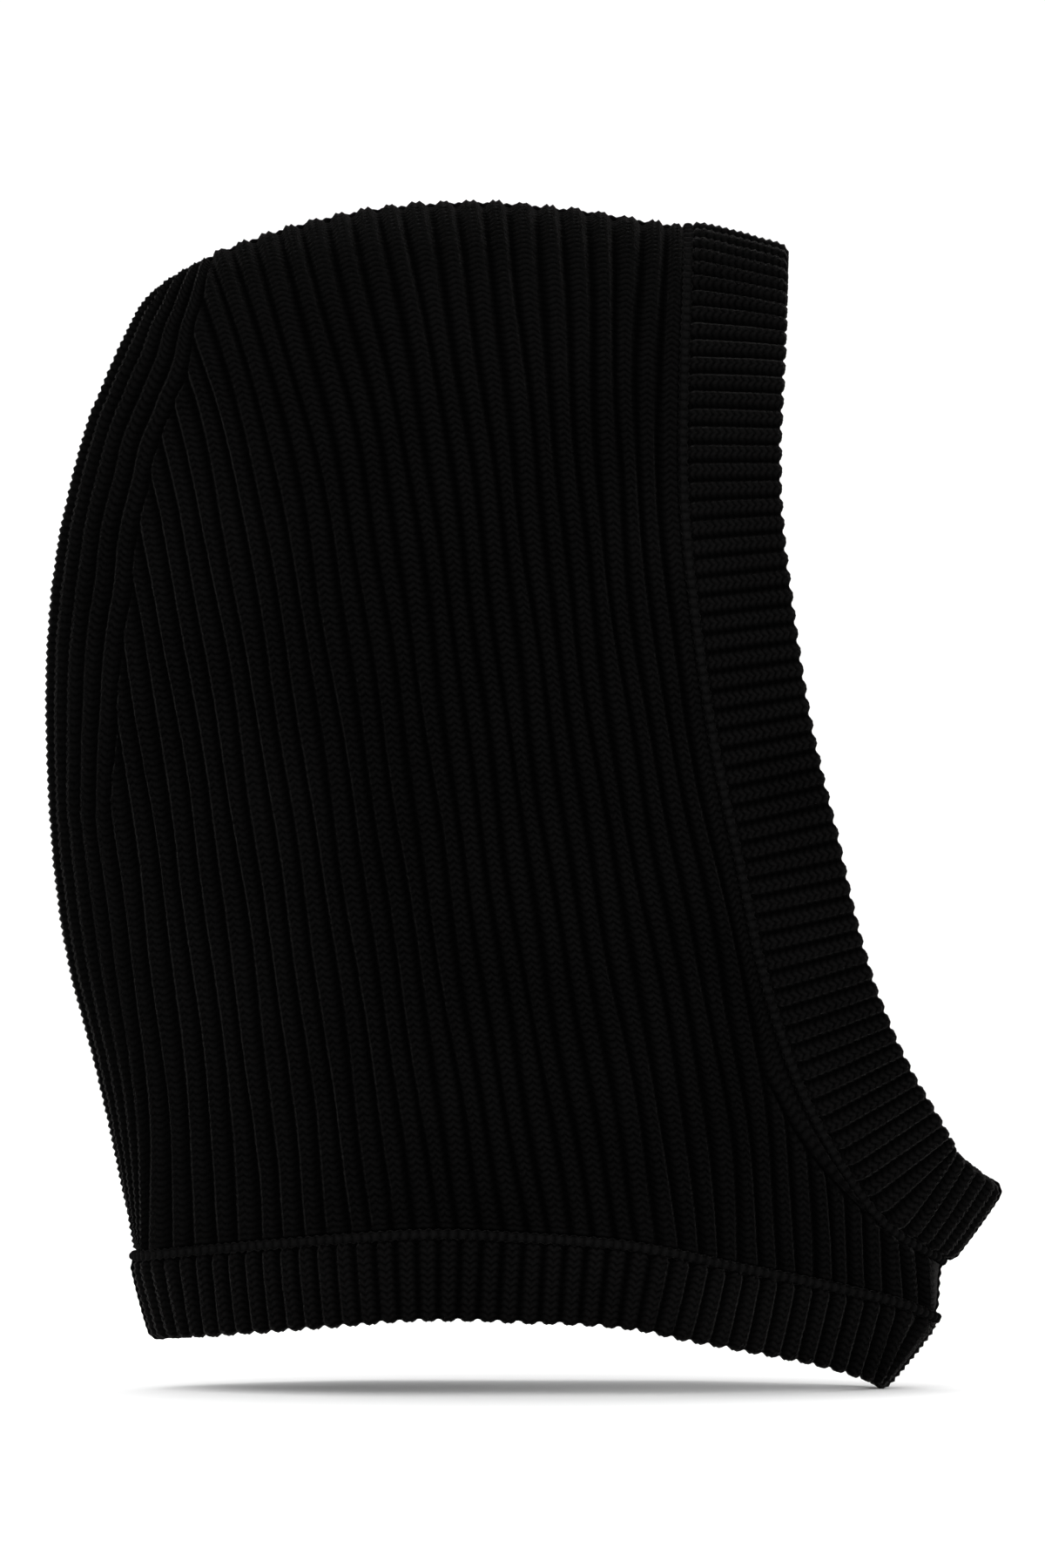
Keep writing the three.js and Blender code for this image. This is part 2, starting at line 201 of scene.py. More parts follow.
def turn(x, z):
    """The direction of a side-view point from the hub, from straight down round by the front."""
    angle = np.arctan2(z - HUB[1], x - HUB[0])
    return np.where(angle < -math.pi / 2, angle + 2 * math.pi, angle)


_order = np.argsort(turn(*OUTLINE.T))
_turns = turn(*OUTLINE.T)[_order]
_radii = np.linalg.norm(OUTLINE - HUB, axis=1)[_order]


def share_of(x, z):
    """How far out a side-view point lies, as a share of the outline's distance from the hub."""
    return np.hypot(x - HUB[0], z - HUB[1]) / np.interp(turn(x, z), _turns, _radii)


def half_width(z):
    """Half the hood's greatest width at a height: an S-shaped change from neck to head."""
    return NECK_HALF_WIDTH + (HEAD_HALF_WIDTH - NECK_HALF_WIDTH) * smooth(
        z, NECK_TOP * HEIGHT, HEAD_BASE * HEIGHT)


def bulge(x, z):
    """How far the hood stands out sideways at a side-view point."""
    rest = np.maximum(0, 1 - share_of(x, z) ** ROUND)
    return half_width(z) * rest ** (1 / FOLD)


def raised(flat):
    """Side-view points put on the surface of the wearer's left half."""
    x, z = flat[..., 0], flat[..., 1]
    return np.stack([x, np.maximum(bulge(x, z), SEAM_EDGE), z], -1)


def pulled_in(flat, y=SEAM_EDGE):
    """Side-view points moved towards the hub from the outline, to where the surface is y wide."""
    away = flat - HUB
    share = (1 - (y / half_width(flat[..., 1])) ** FOLD) ** (1 / ROUND)
    return HUB + away * (share / share_of(flat[..., 0], flat[..., 1]))[..., None]


def outward(p, step=0.0006):
    """The surface's outward direction: the slope of
    (|y| / half-width)^FOLD + (distance from the hub / outline)^ROUND."""
    def field(q):
        flat = share_of(q[..., 0], q[..., 2]) ** ROUND
        return (np.abs(q[..., 1]) / half_width(q[..., 2])) ** FOLD + flat
    slope = [field(p + step * axis) - field(p - step * axis) for axis in np.eye(3)]
    return unit(np.stack(slope, -1))


def nearest(line, point):
    """Which of a line's points lies closest to a point."""
    return int(np.argmin(np.linalg.norm(line - point, axis=1)))


_top_at = nearest(OUTLINE, side(FACE_TOP))
_chin_at = nearest(OUTLINE, side(CHIN))
_nape_at = nearest(OUTLINE[:_top_at], NECK_SEAM[0])
_throat_at = _chin_at + nearest(OUTLINE[_chin_at:], NECK_SEAM[-1])
BACK_LINE = OUTLINE[_nape_at:_top_at + 1]
BROW_LINE = OUTLINE[_top_at:_chin_at + 1]
CHIN_LINE = OUTLINE[_chin_at:_throat_at + 1]
NAPE_DOWN = OUTLINE[:_nape_at + 1][::-1]
THROAT_DOWN = OUTLINE[_throat_at:]


def beside(line, distance):
    """A side-view line moved to the left of its own direction by a distance."""
    d = unit(np.gradient(line, axis=0))
    return line + distance * np.stack([-d[:, 1], d[:, 0]], -1)


# The panel's front edge: up the chin seam, and then up beside the face seam.
CHIN_UP = pulled_in(CHIN_LINE[::-1])
CHIN_UP = CHIN_UP[lengths(CHIN_UP) > SEAM_EDGE]
FACE_EDGE = beside(FACE_SEAM, -SEAM_EDGE)[::-1]
FACE_EDGE = FACE_EDGE[bulge(*FACE_EDGE.T) > SEAM_EDGE]

# Stands the hood's box over the origin.
SHIFT = np.array([-0.00002, 0, -0.00073])


# ------------------------------------------------------------
# Knit
# ------------------------------------------------------------

# The ribs' gaps in the side view, numbered from the back: five guides at seven heights. The ribs
# between the guides are spaced smoothly.
GUIDE_HEIGHTS = HEIGHT * np.array([0.08, 0.22, 0.36, 0.5, 0.65, 0.8, 0.95])
GUIDE_RIBS = [2, 12, 20, 28, 36]
GUIDES = DEPTH * np.array([
    (-0.372, -0.3735, -0.392, -0.4146, -0.4475, -0.493, -0.539),
    (-0.1266, -0.1495, -0.175, -0.2016, -0.232, -0.268, -0.327),
    (0.0626, 0.0315, -0.0005, -0.027, -0.0526, -0.079, -0.114),
    (0.232, 0.217, 0.184, 0.146, 0.1147, 0.098, 0.0974),
    (0.3817, 0.370, 0.349, 0.3077, 0.268, 0.259, 0.302),
])

# The rib that runs into the back strip at each height, and the rib that starts at the edge rib.
FIRST_RIB, LAST_BACK_RIB = 1.0, 12.3
BACK_DECREASES = [(1, 0.48), (2.3, 0.582), (4, 0.677), (6.2, 0.772), (9.3, 0.86), (12.3, 0.965)]
EDGE_RIB, CHIN_RIB, LAST_RIB = 30.0, 36.0, 38.75
FRONT_INCREASES = [
    (30, 0.268), (31.2, 0.2255), (32, 0.203), (33, 0.184), (34, 0.167), (35, 0.153), (36, 0.143),
]

# Shares of a row: rows and points nearer than this to a border would make slivers, and are left out.
LEAST_BORDER_ROW, LEAST_ROW = 0.4, 0.45
# The same towards a neighbouring field, in ribs, and towards the centre line.
LEAST_RIB, LEAST_STRIP = 0.05, 0.0007

# Where the columns of a rib lie, in shares of its width, on the outside and on the inside.
FINE_COLUMNS = np.array([0, 0.1, 0.22, 0.37, 0.5, 0.63, 0.78, 0.9])
COARSE_COLUMNS = np.array([0, 0.28, 0.5, 0.72])


def waver(rib, z):
    """Slow unevenness of the ribs: a few waves along and across them."""
    waves = np.sin(1.7 * rib + 61 * z) + np.sin(0.9 * rib - 97 * z + 2) + np.sin(3.1 * rib + 34 * z)
    return UNEVENNESS * waves


def rib_x(rib, z):
    """Where a rib's gap lies in the side view at height z."""
    guides = np.stack([through(z, GUIDE_HEIGHTS, guide) for guide in GUIDES])
    return through(rib, GUIDE_RIBS, guides) + waver(rib, z)


def neck_height(x):
    """Where the panel starts, just over the neck seam."""
    return np.interp(x, *NECK_SEAM.T) + SEAM_EDGE


def highest(low, high, inside):
    """The greatest height between low and high where inside still holds, by halving."""
    for _ in range(34):
        middle = (low + high) / 2
        within = inside(middle)
        low, high = np.where(within, middle, low), np.where(within, high, middle)
    return low


def rib_lines(rib, samples=420):
    """Each rib's line over the surface from the neck seam to its end, and the distance along it.
    It ends at the back strip, at the edge rib, at the face seam, or at the centre over the crown."""
    low = np.full(rib.shape, neck_height(0.0))
    for _ in range(6):
        low = neck_height(rib_x(rib, low))
    crown = highest(np.full(rib.shape, 0.7 * HEIGHT), np.full(rib.shape, 1.03 * HEIGHT),
                    lambda z: bulge(rib_x(rib, z), z) > SEAM_EDGE)
    face = highest(low, np.full(rib.shape, 0.4 * HEIGHT),
                   lambda z: rib_x(rib, z) < np.interp(z, FACE_EDGE[:, 1], FACE_EDGE[:, 0]))
    back = through(rib, *np.array(BACK_DECREASES).T) * HEIGHT
    edge = np.minimum(through(rib, *np.array(FRONT_INCREASES).T) * HEIGHT, face)
    top = np.where(rib < LAST_BACK_RIB, np.minimum(back, crown), crown)
    top = np.where(rib > EDGE_RIB + 1e-6, edge, top)
    top = np.where(rib >= CHIN_RIB, face, top)
    share = np.sin(np.linspace(0, math.pi / 2, samples))
    z = low[:, None] + (top - low)[:, None] * share
    flat = np.stack([rib_x(rib[:, None], z), z], -1)
    return flat, lengths(raised(flat))


def chevron(rib):
    """How far a stitch's middle hangs below its shoulders: two V-shaped wales to a rib."""
    across = np.abs(np.abs(rib % 1 - 0.5) - WALE_AT) / WALE_AT
    return CHEVRON * STITCH * np.clip(1 - across, 0, 1)


class Grid:
    """Vertices gathered from several fields of rows and columns that share their borders."""

    def __init__(self):
        self.flat, self.rib, self.stitch, self.rim, self.border = [], [], [], [], []
        self.count = 0
        self.faces, self.uv = [], []

    def add(self, flat, rib, stitch, rim, border):
        """Adds points and returns their numbers: side-view place, rib and stitch coordinate, and
        distance to the panel's rim and to the next field's border."""
        flat = np.asarray(flat, float).reshape(-1, 2)
        n = len(flat)
        self.flat.append(flat)
        stores = (self.rib, self.stitch, self.rim, self.border)
        for store, value in zip(stores, (rib, stitch, rim, border)):
            store.append(np.broadcast_to(np.asarray(value, float).ravel(), n))
        numbers = np.arange(self.count, self.count + n)
        self.count += n
        return numbers

    def fill(self, ids, rib, stitch):
        """Two triangles for each four neighbours, without those that have shrunk to nothing."""
        corner = lambda a: (a[:-1, :-1], a[:-1, 1:], a[1:, 1:], a[1:, :-1])
        a, b, c, d = corner(ids)
        ua, ub, uc, ud = corner(np.stack([rib, stitch], -1))
        for three, uv in (((a, b, c), (ua, ub, uc)), ((a, c, d), (ua, uc, ud))):
            three = np.stack([t.ravel() for t in three], -1)
            uv = np.stack([t.reshape(-1, 2) for t in uv], 1)
            keep = (three != np.roll(three, 1, axis=1)).all(axis=1)
            self.faces.append(three[keep])
            self.uv.append(uv[keep])

    def arrays(self):
        """Flat places, ribs, stitches, distances to rim and border, faces and their coordinates."""
        stores = (self.flat, self.rib, self.stitch, self.rim, self.border, self.faces, self.uv)
        return [np.concatenate(parts) for parts in stores]


def cross_rows(start, end, wanted):
    """Side-view points on rows from start to end at wanted distances over the surface, and the
    rows' lengths. The fine points crowd towards the end, where the surface turns away."""
    f = 1 - np.linspace(1, 0, 80) ** 2
    rows = start[:, None] + (end - start)[:, None] * f[None, :, None]
    at = lengths(raised(rows))
    distance = wanted(at[:, -1])
    return resample(rows, at, distance), distance, at[:, -1]


def panel_grid(columns, row):
    """One side of the hood as fields of ribs: the main field, the back strip that its ribs run
    into, and the edge rib along the face. Rows follow the courses of the knit. Returns the grid
    and the five stretches of its rim, in order round it."""
    grid = Grid()
    ribs = (np.arange(0, 40)[:, None] + columns).ravel()
    ribs = ribs[(ribs > FIRST_RIB + LEAST_RIB) & (ribs < LAST_RIB)]
    flat, at = rib_lines(ribs)
    total = at[:, -1]
    rows = np.arange(0, total.max() + 2 * row, row)

    def border(first, last, known_at, known_rib):
        """The rows between a border's first and last lengths, which rib each meets, and where."""
        inner = rows[(rows > first + LEAST_BORDER_ROW * row) & (rows < last - LEAST_BORDER_ROW * row)]
        at_rows = np.concatenate([[first], inner, [last]])
        met = np.interp(at_rows, known_at, known_rib)
        met = np.where(np.abs(met - EDGE_RIB) < 2e-5, EDGE_RIB, met)
        lines, line_at = rib_lines(met)
        place = resample(lines, line_at, at_rows[:, None])[:, 0]
        number = np.clip(np.searchsorted(inner, rows - 1e-9) + 1, 1, len(at_rows) - 1)
        return at_rows, met, place, np.where(rows <= first + LEAST_BORDER_ROW * row, 0, number)

    known = np.linspace(FIRST_RIB, LAST_BACK_RIB - 1e-6, 120)
    known_at = np.maximum.accumulate(rib_lines(known)[1][:, -1])
    back_rows, back_met, back_flat, back_number = border(0, known_at[-1], known_at, known)
    known = np.linspace(CHIN_RIB - 1e-6, EDGE_RIB + 1e-5, 120)
    known_at = np.maximum.accumulate(rib_lines(known)[1][:, -1])
    known_at = np.append(known_at, rib_lines(np.array([EDGE_RIB]))[1][0, -1])
    edge_rows, edge_met, edge_flat, edge_number = border(
        known_at[0], known_at[-1], known_at, np.append(known, EDGE_RIB))
    edge_flat[-1] = rib_lines(np.array([EDGE_RIB]))[0][0, -1]

    back_ids = grid.add(back_flat, FIRST_RIB, back_rows / STITCH,
                        np.minimum(back_rows, back_rows[-1] - back_rows), 0)
    edge_ids = grid.add(edge_flat, EDGE_RIB, edge_rows / STITCH,
                        np.minimum(edge_rows - edge_rows[0], edge_rows[-1] - edge_rows), 0)

    # The chin seam's border
    chin_last = total[-1]
    chin_rows = np.append(rows[rows < chin_last - LEAST_BORDER_ROW * row], chin_last)
    chin_flat = along(CHIN_UP, lengths(CHIN_UP)[-1] * chin_rows / chin_last)
    chin_ids = grid.add(chin_flat, LAST_RIB, chin_rows / STITCH, 0, 1)

    # The main field
    met_back = np.interp(rows, back_rows, back_met)
    met_edge = np.interp(rows, edge_rows, edge_met)
    to_back = ribs[:, None] - np.where(rows < back_rows[-1], met_back, 0)
    to_edge = np.where((rows > edge_rows[0]) & (rows < edge_rows[-1]), met_edge, 99) - ribs[:, None]
    near = np.minimum(to_back, to_edge)
    drop = chevron(ribs)[:, None] * smooth(rows, 0, 3 * STITCH) * smooth(near, 0, 0.35)
    wanted = np.maximum(rows - drop, 0)
    body = resample(flat, at, wanted)
    own_end = ((ribs >= LAST_BACK_RIB) & (ribs < EDGE_RIB - 0.01)) | (ribs > CHIN_RIB + 0.01)
    past = (ribs > EDGE_RIB - 0.01) & (ribs < CHIN_RIB + 0.01)
    valid = (rows < total[:, None] - LEAST_ROW * row) & (near > LEAST_RIB)
    rim = np.minimum(wanted, np.where(own_end[:, None], total[:, None] - wanted, 1))
    rim = np.minimum(rim, np.where(rows < chin_last, (LAST_RIB + 0.1 - ribs[:, None]) * RIB_PITCH, 1))
    spread = lambda values: np.broadcast_to(values, valid.shape)[valid]
    ids = np.full(valid.shape, -1)
    ids[valid] = grid.add(body[valid], spread(ribs[:, None]), spread(rows / STITCH),
                          rim[valid], near[valid] * RIB_PITCH)
    end_of = np.full(len(ribs), -1)
    end_of[own_end] = grid.add(flat[own_end][:, -1], ribs[own_end], total[own_end] / STITCH, 0, 1)
    left = np.broadcast_to(back_ids[back_number], valid.shape)
    right = np.broadcast_to(edge_ids[edge_number], valid.shape)
    beyond = np.where(own_end[:, None], end_of[:, None], np.where(past[:, None], right, left))
    ids = np.where(valid, ids, beyond)
    chin = chin_ids[np.minimum(np.arange(len(rows)), len(chin_ids) - 1)]
    ids = np.vstack([left[:1], ids, chin[None]])
    rib_uv = np.vstack([met_back[None], np.broadcast_to(ribs[:, None], valid.shape),
                        np.full((1, len(rows)), LAST_RIB)])
    ends_at = np.concatenate([[back_rows[-1]], total, [chin_last]])
    stitch_uv = np.minimum(rows, ends_at[:, None]) / STITCH
    first_row = ids[:, 0]
    turn_at = 1 + nearest(ribs[:, None], np.array([CHIN_RIB]))
    grid.fill(ids[:turn_at + 1], rib_uv[:turn_at + 1], stitch_uv[:turn_at + 1])
    ids[turn_at] = np.where(valid[turn_at - 1], ids[turn_at], edge_ids[0])
    grid.fill(ids[turn_at:], rib_uv[turn_at:], stitch_uv[turn_at:])

    # The back strip: whole ribs from the border round to the centre line, cut off by the crown.
    walked = lengths(back_flat)
    last = lengths(BACK_LINE)[nearest(BACK_LINE, back_flat[-1])]
    corner = lengths(BACK_LINE)[nearest(BACK_LINE, side(CROWN_CORNER))]
    reach = SEAM_EDGE + (last - SEAM_EDGE) * walked / walked[-1]
    centre = pulled_in(along(BACK_LINE, reach))
    centre[-1] = back_flat[-1]
    own = (np.arange(BACK_RIBS)[:, None] + columns).ravel()[1:]
    below = reach < corner

    def strip_ribs(row_length):
        own_pitch = row_length / BACK_RIBS
        own_pitch = np.where(below, own_pitch, own_pitch[below][-1])
        return own_pitch[:, None] * own

    strip, distance, row_length = cross_rows(back_flat, centre, strip_ribs)
    sag = chevron(own) * smooth(back_rows, 0, 3 * STITCH)[:, None]
    sag = sag * smooth(row_length[:, None] - distance, 0, 0.003) * smooth(distance, 0, 0.0012)
    strip[..., 1] -= sag
    inside = distance < row_length[:, None] - LEAST_STRIP
    inside[-1] = False
    rim = np.minimum(row_length[:, None] - distance, back_rows[:, None])
    spread = lambda values: np.broadcast_to(values, inside.shape)[inside]
    ids = np.full(inside.shape, -1)
    ids[inside] = grid.add(strip[inside], spread(own), spread(back_rows[:, None] / STITCH),
                           rim[inside], distance[inside])
    centre_ids = np.append(grid.add(centre[:-1], 0, back_rows[:-1] / STITCH, 0, 1), back_ids[-1])
    ids = np.where(inside, ids, centre_ids[:, None])
    strip_ids = np.hstack([centre_ids[:, None], ids[:, ::-1], back_ids[:, None]])
    own_uv = np.concatenate([[BACK_RIBS], own[::-1], [0]])
    own_uv = np.broadcast_to(own_uv[:, None], strip_ids.T.shape)
    grid.fill(strip_ids.T, own_uv, np.broadcast_to(back_rows / STITCH, own_uv.shape))

    # The edge rib: one rib between the border and the face seam.
    walked = lengths(edge_flat)
    from_start = FACE_EDGE[FACE_EDGE[:, 1] > edge_flat[0, 1]]
    front = along(from_start, lengths(from_start)[-1] * walked / walked[-1])
    across = columns[1:]
    rib, distance, row_length = cross_rows(edge_flat, front, lambda full: full[:, None] * across)
    sag = chevron(across) * smooth(edge_rows - edge_rows[0], 0, 0.03)[:, None]
    rib[..., 1] -= sag * smooth(edge_rows[-1] - edge_rows, 0, 0.004)[:, None]
    rib[-1] = pulled_in(rib[-1])
    rim = np.minimum(row_length[:, None] - distance, (edge_rows[-1] - edge_rows)[:, None])
    spread = lambda values: np.broadcast_to(values, distance.shape)[1:]
    middle = grid.add(rib[1:], spread(across), spread(edge_rows[:, None] / STITCH), rim[1:], distance[1:])
    middle = np.vstack([np.full(len(across), edge_ids[0]), middle.reshape(-1, len(across))])
    front_ids = np.append(edge_ids[0], grid.add(front[1:], 1, edge_rows[1:] / STITCH, 0, 1))
    ids = np.hstack([edge_ids[:, None], middle, front_ids[:, None]])
    across_uv = np.broadcast_to(np.concatenate([[0], across, [1]])[:, None], ids.T.shape)
    grid.fill(ids.T, across_uv, np.broadcast_to(edge_rows / STITCH, ids.T.shape))

    ends_front = end_of[own_end & (ribs > CHIN_RIB)][::-1]
    ends_crown = end_of[own_end & (ribs < EDGE_RIB)][::-1]
    bottom = np.concatenate([strip_ids[0], first_row[1:]])
    return grid, [
        bottom,
        chin_ids,
        np.concatenate([chin_ids[-1:], ends_front, front_ids]),
        np.concatenate([front_ids[-1:], middle[-1][::-1], edge_ids[-1:], ends_crown, back_ids[-1:]]),
        centre_ids[::-1],
    ]


# ------------------------------------------------------------
# Materials
# ------------------------------------------------------------

class Nodes:
    """Short calls for building a material from shader nodes."""

    def __init__(self, name):
        self.material = bpy.data.materials.new(name)
        self.material.use_nodes = True
        self.tree = self.material.node_tree
        self.shader = self.tree.nodes["Principled BSDF"]

    def put(self, target, value):
        if hasattr(value, "is_linked"):
            self.tree.links.new(value, target)
        elif value is not None:
            target.default_value = value

    def node(self, kind, output=0, settings=(), **inputs):
        made = self.tree.nodes.new(kind)
        for key, value in dict(settings).items():
            setattr(made, key, value)
        for key, value in inputs.items():
            self.put(made.inputs[key.replace("_", " ")], value)
        return made.outputs[output]

    def math(self, operation, a, b=None, c=None):
        made = self.tree.nodes.new("ShaderNodeMath")
        made.operation = operation
        for socket, value in zip(made.inputs, (a, b, c)):
            self.put(socket, value)
        return made.outputs[0]

    def wave(self, turns):
        """A cosine from 0 to 1, once for each whole turn."""
        angle = self.math("MULTIPLY", turns, 2 * math.pi)
        return self.math("MULTIPLY_ADD", self.math("COSINE", angle), 0.5, 0.5)


def wool(name, dark, light, fuzz, strand=0.00028):
    """Black wool: the yarn's twist runs round each stitch, over a fine fuzz of fibres. The colour goes from
    dark to light with random tone and with painted shade from the yarn's relief, lighter on the stitches'
    legs and darker between them, and painted shade makes it dark in the gaps between the ribs."""
    m = Nodes(name)
    uv = m.node("ShaderNodeUVMap", settings={"uv_map": "knit"})
    split = m.tree.nodes.new("ShaderNodeSeparateXYZ")
    m.put(split.inputs[0], uv)
    rib, stitch = split.outputs[0], split.outputs[1]
    place = m.node("ShaderNodeTexCoord", output=3)
    tuft = m.node("ShaderNodeTexNoise", Vector=place, Scale=260.0, Detail=3.0, Roughness=0.65)
    fibre = m.node("ShaderNodeTexNoise", Vector=place, Scale=1500.0, Detail=3.0, Roughness=0.7)
    patch = m.node("ShaderNodeTexNoise", Vector=place, Scale=22.0, Detail=2.0, Roughness=0.5)
    wander = m.math("MULTIPLY", m.math("SUBTRACT", tuft, 0.5), 0.35)
    row = m.math("ADD", stitch, wander)
    leg = m.math("POWER", m.wave(row), 0.6)
    twist = m.wave(m.math("ADD", m.math("MULTIPLY", rib, 13.0), m.math("MULTIPLY", row, 3.0)))
    height = m.math("MULTIPLY_ADD", twist, 0.22, m.math("MULTIPLY", leg, 0.5))
    height = m.math("MULTIPLY_ADD", fibre, 1.5, height)
    height = m.math("MULTIPLY_ADD", tuft, 0.9, height)
    bump = m.node("ShaderNodeBump", Height=height, Strength=0.75, Distance=strand)
    # Painted shade: the leg term makes the colour lighter on the stitches' legs and darker between the
    # rows; the fibre and patch noise are random tone.
    shade = m.math("MULTIPLY_ADD", fibre, 0.8, m.math("MULTIPLY", leg, 0.35))
    shade = m.math("MULTIPLY_ADD", patch, 0.3, shade)
    ramp = m.node("ShaderNodeMapRange", Value=shade, From_Min=0.4, From_Max=1.05, To_Min=0.0, To_Max=1.0)
    # Painted shade: the base colour darkens to a fifth in the gaps between the ribs, where shade falls.
    gap = m.math("POWER", m.wave(rib), 3.0)
    ramp = m.math("MULTIPLY", ramp, m.math("MULTIPLY_ADD", gap, -0.8, 1.0))
    mix = m.tree.nodes.new("ShaderNodeMix")
    mix.data_type = "RGBA"
    m.put(mix.inputs[0], ramp)
    mix.inputs[6].default_value = (*dark, 1)
    mix.inputs[7].default_value = (*light, 1)
    m.put(m.shader.inputs["Base Color"], mix.outputs[2])
    m.put(m.shader.inputs["Normal"], bump)
    m.shader.inputs["Roughness"].default_value = 0.95
    m.shader.inputs["Specular IOR Level"].default_value = 0.0
    m.shader.inputs["Sheen Weight"].default_value = fuzz
    m.shader.inputs["Sheen Roughness"].default_value = 0.17
    m.shader.inputs["Sheen Tint"].default_value = (0.55, 0.53, 0.52, 1)
    return m.material


def satin(name):
    """Woven black satin: fine floats across a fine warp."""
    m = Nodes(name)
    place = m.node("ShaderNodeTexCoord", output=3)
    split = m.tree.nodes.new("ShaderNodeSeparateXYZ")
    m.put(split.inputs[0], place)
    warp = m.wave(m.math("MULTIPLY", split.outputs[1], 2600.0))
    weft = m.wave(m.math("MULTIPLY", split.outputs[2], 1700.0))
    height = m.math("MULTIPLY_ADD", warp, 0.5, weft)
    m.put(m.shader.inputs["Normal"], m.node("ShaderNodeBump", Height=height, Strength=0.4, Distance=0.0001))
    m.shader.inputs["Base Color"].default_value = (0.006, 0.006, 0.0065, 1)
    m.shader.inputs["Roughness"].default_value = 0.5
    m.shader.inputs["Specular IOR Level"].default_value = 0.12
    return m.material


def plain(name, colour, roughness):
    """One even colour, for the floor."""
    m = Nodes(name)
    m.shader.inputs["Base Color"].default_value = (*colour, 1)
    m.shader.inputs["Roughness"].default_value = roughness
    return m.material


HOOD_KNIT = wool("hood knit", (0.0004, 0.0004, 0.0004), (0.0041, 0.004, 0.004), fuzz=0.14)
# Painted light: the band ribbing and the linking yarn are the same black wool as the hood knit, given
# lighter colours as lit copies of it.
BAND_KNIT = wool("band ribbing", (0.0004, 0.0004, 0.0004), (0.0052, 0.005, 0.005), fuzz=0.2)
YARN = wool("linking yarn", (0.0007, 0.0007, 0.0007), (0.0055, 0.0054, 0.0054), fuzz=0.1, strand=0.00018)
SATIN = satin("label satin")


# ------------------------------------------------------------
# Meshes
# ------------------------------------------------------------

def piece(name, points, faces, uv, material, slot, *nodes):
    """A smooth-shaded mesh of triangles, put in place of its CAD nodes, which it hides."""
    mesh = bpy.data.meshes.new(name)
    mesh.vertices.add(len(points))
    mesh.vertices.foreach_set("co", np.ascontiguousarray(points + SHIFT, np.float32).ravel())
    mesh.loops.add(faces.size)
    mesh.loops.foreach_set("vertex_index", np.ascontiguousarray(faces, np.int32).ravel())
    mesh.polygons.add(len(faces))
    mesh.polygons.foreach_set("loop_start", np.arange(0, faces.size, 3, dtype=np.int32))
    mesh.uv_layers.new(name="knit").data.foreach_set("uv", np.ascontiguousarray(uv, np.float32).ravel())
    mesh.update(calc_edges=True)
    mesh.shade_smooth()
    mesh.materials.append(material)
    made = bpy.data.objects.new(name, mesh)
    bpy.context.scene.collection.objects.link(made)
    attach(made, BODY)
    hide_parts(*nodes)
    return made


def drift(points, seed, size):
    """Smooth unevenness of about a given height: sums of waves in seeded directions."""
    chance = np.random.default_rng(seed)
    total = np.zeros(points.shape[:-1])
    for wavelength, share in ((0.045, 0.45), (0.016, 0.35), (0.006, 0.3)):
        for _ in range(4):
            direction = unit(chance.normal(size=3)) * 2 * math.pi / wavelength
            total += share / 2 * np.sin(points @ direction + chance.uniform(0, 6.28))
    return size * total


# The depth of a rib's section, from 0 at its wales' tops to 1 in the gaps, at the fine columns.
RIB_AT = np.append(FINE_COLUMNS, 1)
RIB_SHAPE = np.array([1, 0.9, 0.4, 0.03, 0.22, 0.03, 0.4, 0.9, 1])
SEAM_HEIGHT = -0.0016
INNER_RIB = 0.0016
LEAST_Y = 0.0003

# How far from a border or a rim the ribs rise to their full height.
BORDER_RISE = 0.0012
RIM_RISE_FROM, RIM_RISE_TO = -0.0006, 0.0026
INNER_BORDER_RISE, INNER_RIM_RISE = 0.002, 0.004


def rib_height(rib, stitch, gap=GAP_DEPTH):
    """Height over the cloth's surface: two wales to a rib, a deep gap beside them, and a rounded
    stitch every whole stitch."""
    depth = np.interp(rib % 1, RIB_AT, RIB_SHAPE)
    return CREST + gap * depth + STITCH_HEIGHT * np.cos(2 * math.pi * stitch) * (1 - depth)


def zip_rims(points, outer, inner):
    """Triangles between two lines of vertices that run side by side."""
    outer = outer[np.append(True, np.diff(outer) != 0)]
    inner = inner[np.append(True, np.diff(inner) != 0)]
    share = lambda ids: lengths(points[ids]) / lengths(points[ids])[-1]
    events = np.concatenate([share(outer)[1:], share(inner)[1:]])
    on_outer = np.arange(len(events)) < len(outer) - 1
    on_outer = on_outer[np.argsort(events, kind="stable")]
    i = np.cumsum(on_outer) - on_outer
    j = np.cumsum(~on_outer) - ~on_outer
    a, b = outer[i], inner[j]
    next_a = outer[np.minimum(i + 1, len(outer) - 1)]
    next_b = inner[np.minimum(j + 1, len(inner) - 1)]
    return np.where(on_outer[:, None], np.stack([a, next_a, b], -1), np.stack([b, a, next_b], -1))


